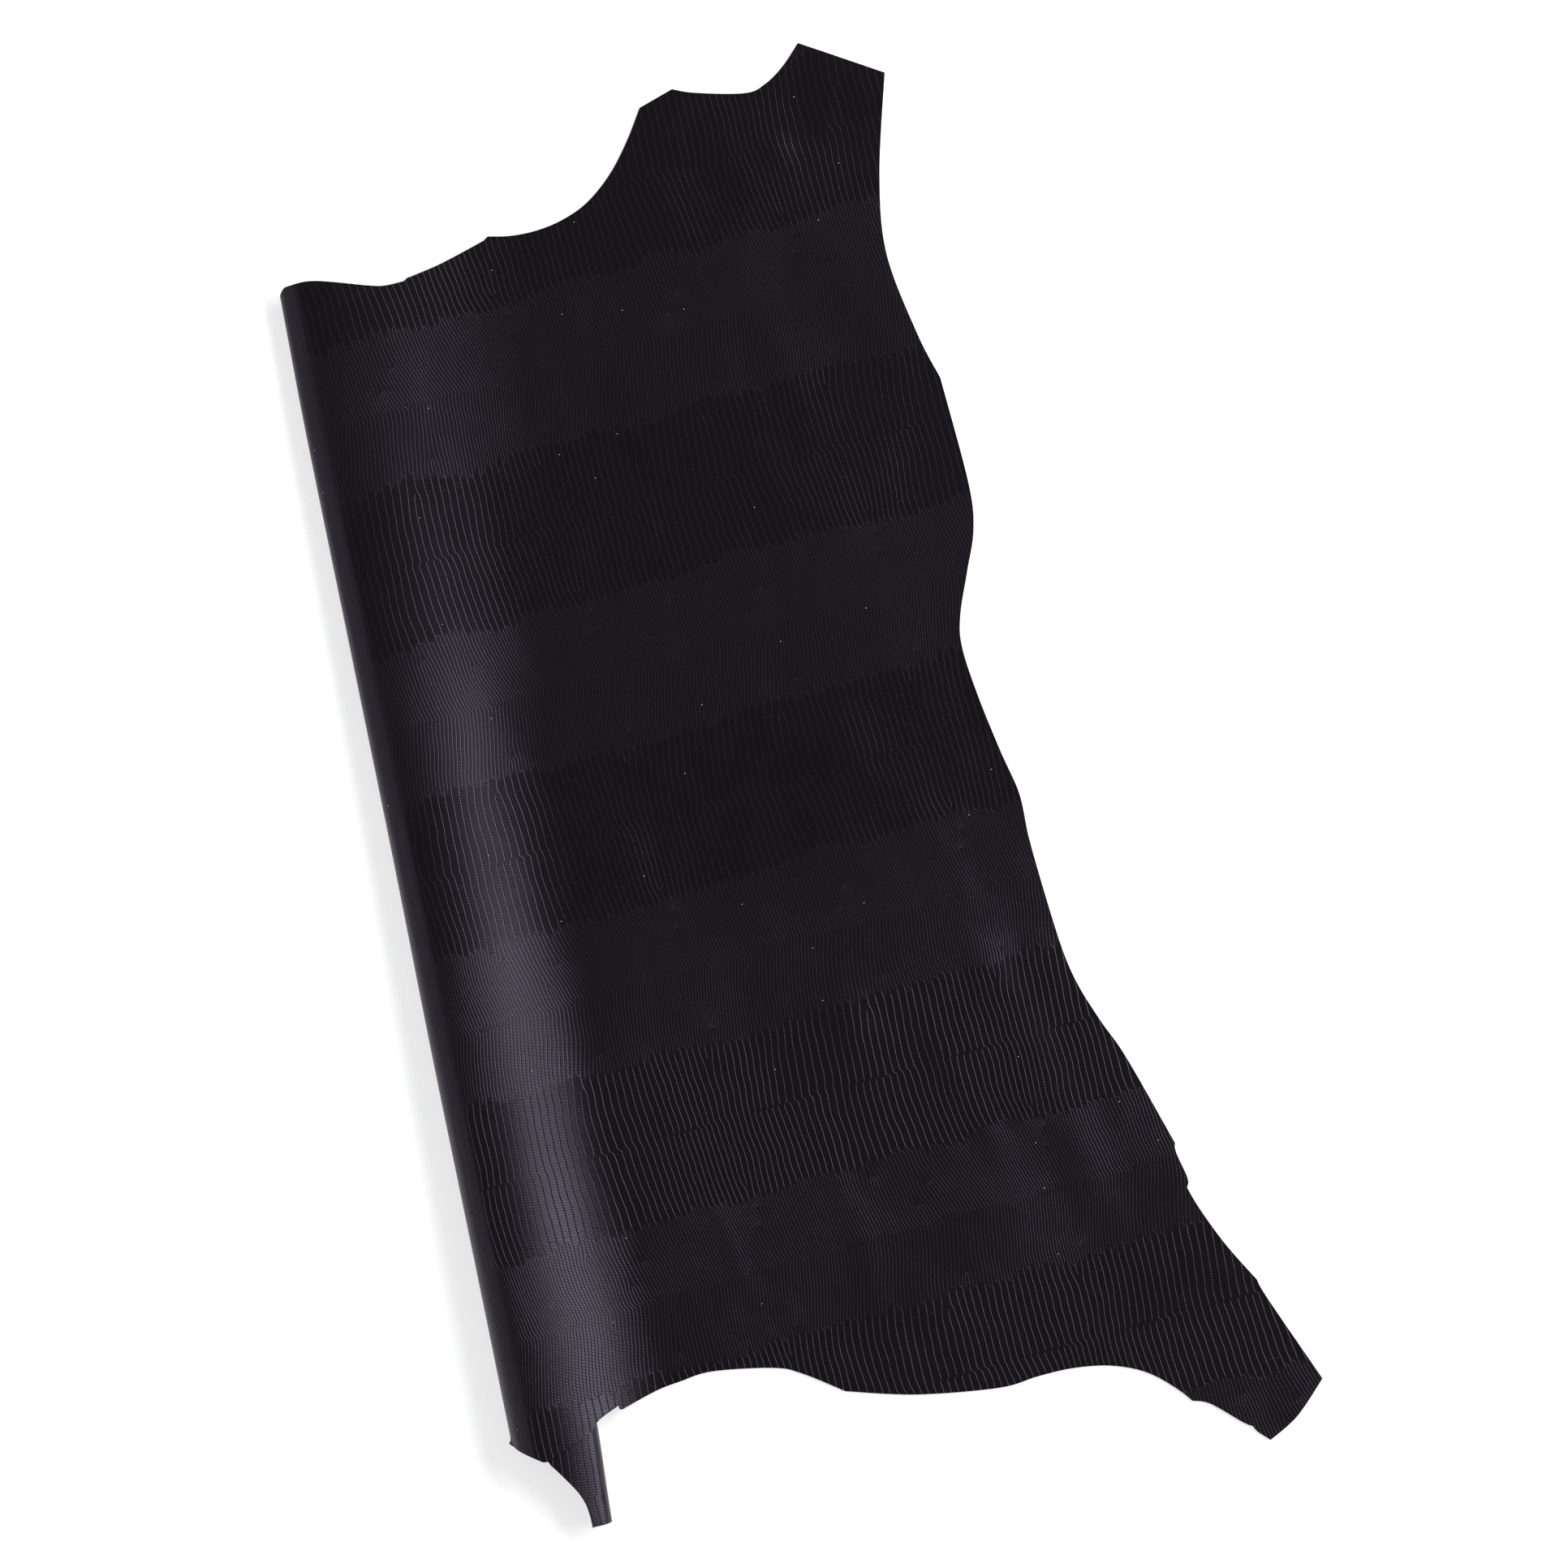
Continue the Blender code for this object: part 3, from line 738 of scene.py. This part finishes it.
# Beads: small round scales in staggered columns, two to each belly column. The groove between the two
# branches off one side of the belly column, just past that column's end.
left_or_right = reckon("ROUND", reckon("FRACT", reckon("MULTIPLY", own_length, BRANCH_SEED)))
side = reckon("SUBTRACT", left_or_right, 0.5)
branching = grain.soft_step(to_border, -BRANCH_LENGTH, 0.0)
branch = reckon("MULTIPLY_ADD", side, branching, 0.5)
own_column_share = reckon("FRACT", column)
past_branch = reckon("SUBTRACT", own_column_share, branch)
from_branch = reckon("MULTIPLY", reckon("ABSOLUTE", past_branch), COLUMN_WIDTH)
second_bead_column = reckon("GREATER_THAN", own_column_share, branch)
beads_along = reckon("MULTIPLY", reckon("ADD", along_plate, slow_wander[1]), BEAD_ROWS / PLATE_HEIGHT)
bead_row = reckon("MULTIPLY_ADD", second_bead_column, 0.5, beads_along)
from_row_groove = reckon("MULTIPLY", reckon("PINGPONG", bead_row, 0.5), PLATE_HEIGHT / BEAD_ROWS)
bead_sides = grain.pillow(reckon("MINIMUM", from_groove, from_branch), BEAD_GROOVE_HALF)
bead_sides = grain.mixed(bead_sides, 1.0 - BEAD_SIDE_DEPTH, 1.0)
bead_ends = grain.mixed(grain.pillow(from_row_groove, BEAD_ROW_HALF), 1.0 - BEAD_ROW_DEPTH, 1.0)
bead_groove = reckon("SUBTRACT", 1.0, reckon("MULTIPLY", bead_sides, bead_ends))

# The plate bit deeper toward the butt, where the hide is thicker, and not evenly anywhere
uneven = reckon("SUBTRACT", grain.noise(scale=14.0, detail=3.0).outputs["Fac"], 0.5)
toward_butt = reckon("MULTIPLY_ADD", uneven, UNEVEN_PRESS, on_plate.outputs["Y"])
belly_depth = grain.soft_step(toward_butt, *PRESS_GROWS, BELLY_DEPTH_AT_NECK, BELLY_DEPTH_AT_BUTT)
bead_depth = grain.soft_step(toward_butt, *PRESS_GROWS, BEAD_DEPTH_AT_NECK, BEAD_DEPTH_AT_BUTT)
on_belly = reckon("GREATER_THAN", to_border, 0.0)
bead_sunk = reckon("MULTIPLY", bead_groove, bead_depth)
belly_sunk = reckon("MULTIPLY", scale_groove, belly_depth)
sunk = grain.mixed(on_belly, bead_sunk, belly_sunk)
pores = grain.noise(scale=1700.0, detail=3.0, roughness=0.6).outputs["Fac"]
pores = reckon("SUBTRACT", pores, 0.5)
height = reckon("MULTIPLY_ADD", pores, PORE_DEPTH, reckon("SUBTRACT", 1.0, sunk))
grain.press(height, PRESS_DEPTH)

# Bits of white lint lie on it here and there
lint = grain.nodes.new("ShaderNodeTexVoronoi")
lint.voronoi_dimensions = "2D"
lint.inputs["Scale"].default_value = LINT_CELLS
grain.feed(lint.inputs["Vector"], grain.place)
chance = grain.nodes.new("ShaderNodeSeparateColor")
grain.feed(chance.inputs["Color"], lint.outputs["Color"])
near_speck = reckon("LESS_THAN", lint.outputs["Distance"], LINT_SIZE)
speck = reckon("MULTIPLY", near_speck, reckon("LESS_THAN", chance.outputs["Red"], LINT_SHARE))

# The finish is satin black and a little duller down in the grooves. The grooves are also painted a
# little paler, a painted highlight for the light their walls catch.
worn = grain.noise(scale=35.0, detail=4.0, roughness=0.6).outputs["Fac"]
# The paler colour in the grooves is painted light, not the leather's own colour
colour_with_painted_groove_light = grain.mixed(height, GROOVE_PAINTED_LIGHT_COLOUR, SCALE_COLOUR, "RGBA")
colour_with_painted_groove_light = grain.mixed(speck, colour_with_painted_groove_light, LINT_COLOUR, "RGBA")
roughness = grain.mixed(on_belly, BEAD_ROUGHNESS, grain.mixed(worn, *BELLY_ROUGHNESS))
roughness = grain.mixed(height, GROOVE_ROUGHNESS, roughness)
grain.feed(grain.shader.inputs["Base Color"], colour_with_painted_groove_light)
grain.feed(grain.shader.inputs["Roughness"], roughness)
grain.feed(grain.shader.inputs["Specular IOR Level"], SHINE)
grain.feed(grain.shader.inputs["Specular Tint"], SHINE_TINT)
hide_mesh.materials.append(grain.material)

# The flesh side is dyed charcoal suede, with a short nap that lies in patches
NAP_DEPTH = 0.0004
BRUSHED_DOWN = (0.35, 0.65)
NAP_STANDS = (0.4, 0.7)
FLESH_COLOURS = (0.011, 0.010, 0.011, 1.0), (0.024, 0.021, 0.022, 1.0)
NAP_COLOUR = (0.042, 0.036, 0.036, 1.0)
FLESH_ROUGHNESS = 0.95
FLESH_SHINE = 0.15
FLESH_SHEEN = 0.25
flesh = Look("flesh side", on_flat_hide=False)
nap = flesh.noise(scale=900.0, detail=5.0, roughness=0.7).outputs["Fac"]
brushed = flesh.noise(scale=28.0, detail=3.0, roughness=0.6).outputs["Fac"]
dyed = flesh.mixed(flesh.soft_step(brushed, *BRUSHED_DOWN), *FLESH_COLOURS, "RGBA")
dyed = flesh.mixed(flesh.soft_step(nap, *NAP_STANDS), dyed, NAP_COLOUR, "RGBA")
flesh.feed(flesh.shader.inputs["Base Color"], dyed)
flesh.feed(flesh.shader.inputs["Roughness"], FLESH_ROUGHNESS)
flesh.feed(flesh.shader.inputs["Specular IOR Level"], FLESH_SHINE)
flesh.feed(flesh.shader.inputs["Sheen Weight"], FLESH_SHEEN)
flesh.press(nap, NAP_DEPTH)
hide_mesh.materials.append(flesh.material)

# The cut edge shows packed fibres, dark and a little redder than the grain, with pale ends
FIBRE_DEPTH = 0.0002
FIBRE_COLOURS = (0.010, 0.008, 0.008, 1.0), (0.040, 0.029, 0.026, 1.0)
FIBRE_STANDS = (0.5, 0.72)
FIBRE_LOOSE = (0.45, 0.75)
PALE_END_COLOUR = (0.20, 0.17, 0.16, 1.0)
CUT_ROUGHNESS = 0.85
cut_edge = Look("cut edge", on_flat_hide=False)
fibres = cut_edge.noise(scale=2600.0, detail=4.0, roughness=0.7).outputs["Fac"]
loose = cut_edge.noise(scale=160.0, detail=2.0, roughness=0.6).outputs["Fac"]
loose = cut_edge.soft_step(loose, *FIBRE_LOOSE)
pale_ends = cut_edge.reckon("MULTIPLY", cut_edge.soft_step(fibres, *FIBRE_STANDS), loose)
packed = cut_edge.mixed(fibres, *FIBRE_COLOURS, "RGBA")
packed = cut_edge.mixed(pale_ends, packed, PALE_END_COLOUR, "RGBA")
cut_edge.feed(cut_edge.shader.inputs["Base Color"], packed)
cut_edge.feed(cut_edge.shader.inputs["Roughness"], CUT_ROUGHNESS)
cut_edge.press(fibres, FIBRE_DEPTH)
hide_mesh.materials.append(cut_edge.material)

# The sheet gets its thickness. The underside takes the next material after the grain, and the cut
# edge the one after that.
SHARP_FROM = math.radians(50)
leather = hide.modifiers.new("leather thickness", "SOLIDIFY")
leather.thickness = THICKNESS * MM
leather.offset = 0.0
leather.use_even_offset = True
leather.material_offset = 1
leather.material_offset_rim = 2
bpy.context.view_layer.update()
thick_hide = hide.evaluated_get(bpy.context.evaluated_depsgraph_get())
thick_mesh = bpy.data.meshes.new_from_object(thick_hide)
hide.modifiers.clear()
hide.data = thick_mesh
thick_mesh.set_sharp_from_angle(angle=SHARP_FROM)

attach(hide, "root")
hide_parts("hide")

# ---------------------------------------------------------------------------------------------------
# The stage. A matt white floor that glows a little, like a photo table lit from below, two soft boxes
# in a white room, and a camera straight above, turned so that the roll leans as in the photo.

FLOOR_HALF = 6.0
FLOOR_COLOUR = (0.85, 0.85, 0.85, 1.0)
FLOOR_ROUGHNESS = 0.9
FLOOR_GLOW = 0.57
FLOOR_CORNERS = (
    (-FLOOR_HALF, -FLOOR_HALF, 0.0),
    (FLOOR_HALF, -FLOOR_HALF, 0.0),
    (FLOOR_HALF, FLOOR_HALF, 0.0),
    (-FLOOR_HALF, FLOOR_HALF, 0.0),
)
WHITE = (1.0, 1.0, 1.0, 1.0)
floor_mesh = bpy.data.meshes.new("floor")
floor_mesh.from_pydata(FLOOR_CORNERS, [], [(0, 1, 2, 3)])
floor = bpy.data.objects.new("floor", floor_mesh)
bpy.context.scene.collection.objects.link(floor)
floor_paint = bpy.data.materials.new("white floor")
floor_paint.use_nodes = True
paint = floor_paint.node_tree.nodes["Principled BSDF"].inputs
paint["Base Color"].default_value = FLOOR_COLOUR
paint["Roughness"].default_value = FLOOR_ROUGHNESS
paint["Emission Color"].default_value = WHITE
paint["Emission Strength"].default_value = FLOOR_GLOW
floor_paint.cycles.emission_sampling = "NONE"
floor_mesh.materials.append(floor_paint)

ROOM_LIGHT = 0.165
room = bpy.data.worlds.new("studio")
room.use_nodes = True
room.node_tree.nodes["Background"].inputs["Color"].default_value = WHITE
room.node_tree.nodes["Background"].inputs["Strength"].default_value = ROOM_LIGHT
room.cycles.sampling_method = "NONE"
bpy.context.scene.world = room

LAMP_COLOUR = (0.955, 1.0, 0.97)


def soft_box(name, direction, distance, width, height, power):
    """A soft box that looks at the middle of the hide from one direction."""
    light = bpy.data.lights.new(name, "AREA")
    light.shape = "RECTANGLE"
    light.size = width
    light.size_y = height
    light.energy = power
    light.color = LAMP_COLOUR
    box = bpy.data.objects.new(name, light)
    box.location = Vector(direction).normalized() * distance
    box.rotation_euler = Vector(direction).to_track_quat("Z", "Y").to_euler()
    bpy.context.scene.collection.objects.link(box)


soft_box("key light", direction=(0.80, 0.21, 0.72), distance=2.6, width=3.0, height=1.0, power=72.0)
soft_box("left fill", direction=(-0.85, 0.0, 0.53), distance=2.6, width=6.0, height=3.3, power=33.0)

# The photo shows a square of the floor. It is this wide, in metres, round this place on the hide, and
# the roll runs this way in it.
PHOTO_WIDTH = 1.1592
PHOTO_MIDDLE = Vector((292.7, 426.9))
ROLL_RUN = (0.1978, 0.9802)
CAMERA_HEIGHT = 6.0
CAMERA_SEES = 100.0
SENSOR = 36.0
camera_data = bpy.data.cameras.new("camera")
camera_data.sensor_width = SENSOR
camera_data.lens = SENSOR * CAMERA_HEIGHT / PHOTO_WIDTH
camera_data.clip_end = CAMERA_SEES
camera = bpy.data.objects.new("camera", camera_data)
camera_across = (PHOTO_MIDDLE.x - MIDDLE_ACROSS) * MM
camera_along = (MIDDLE_ALONG - PHOTO_MIDDLE.y) * MM
camera.location = (camera_across, camera_along, CAMERA_HEIGHT)
camera.rotation_euler = (0.0, 0.0, -math.atan2(*ROLL_RUN))
bpy.context.scene.collection.objects.link(camera)
bpy.context.scene.camera = camera
bpy.context.scene.view_settings.view_transform = "Standard"
# The pressed beads are about two picture points wide, and a noise filter would smooth them away
bpy.context.scene.cycles.use_denoising = False
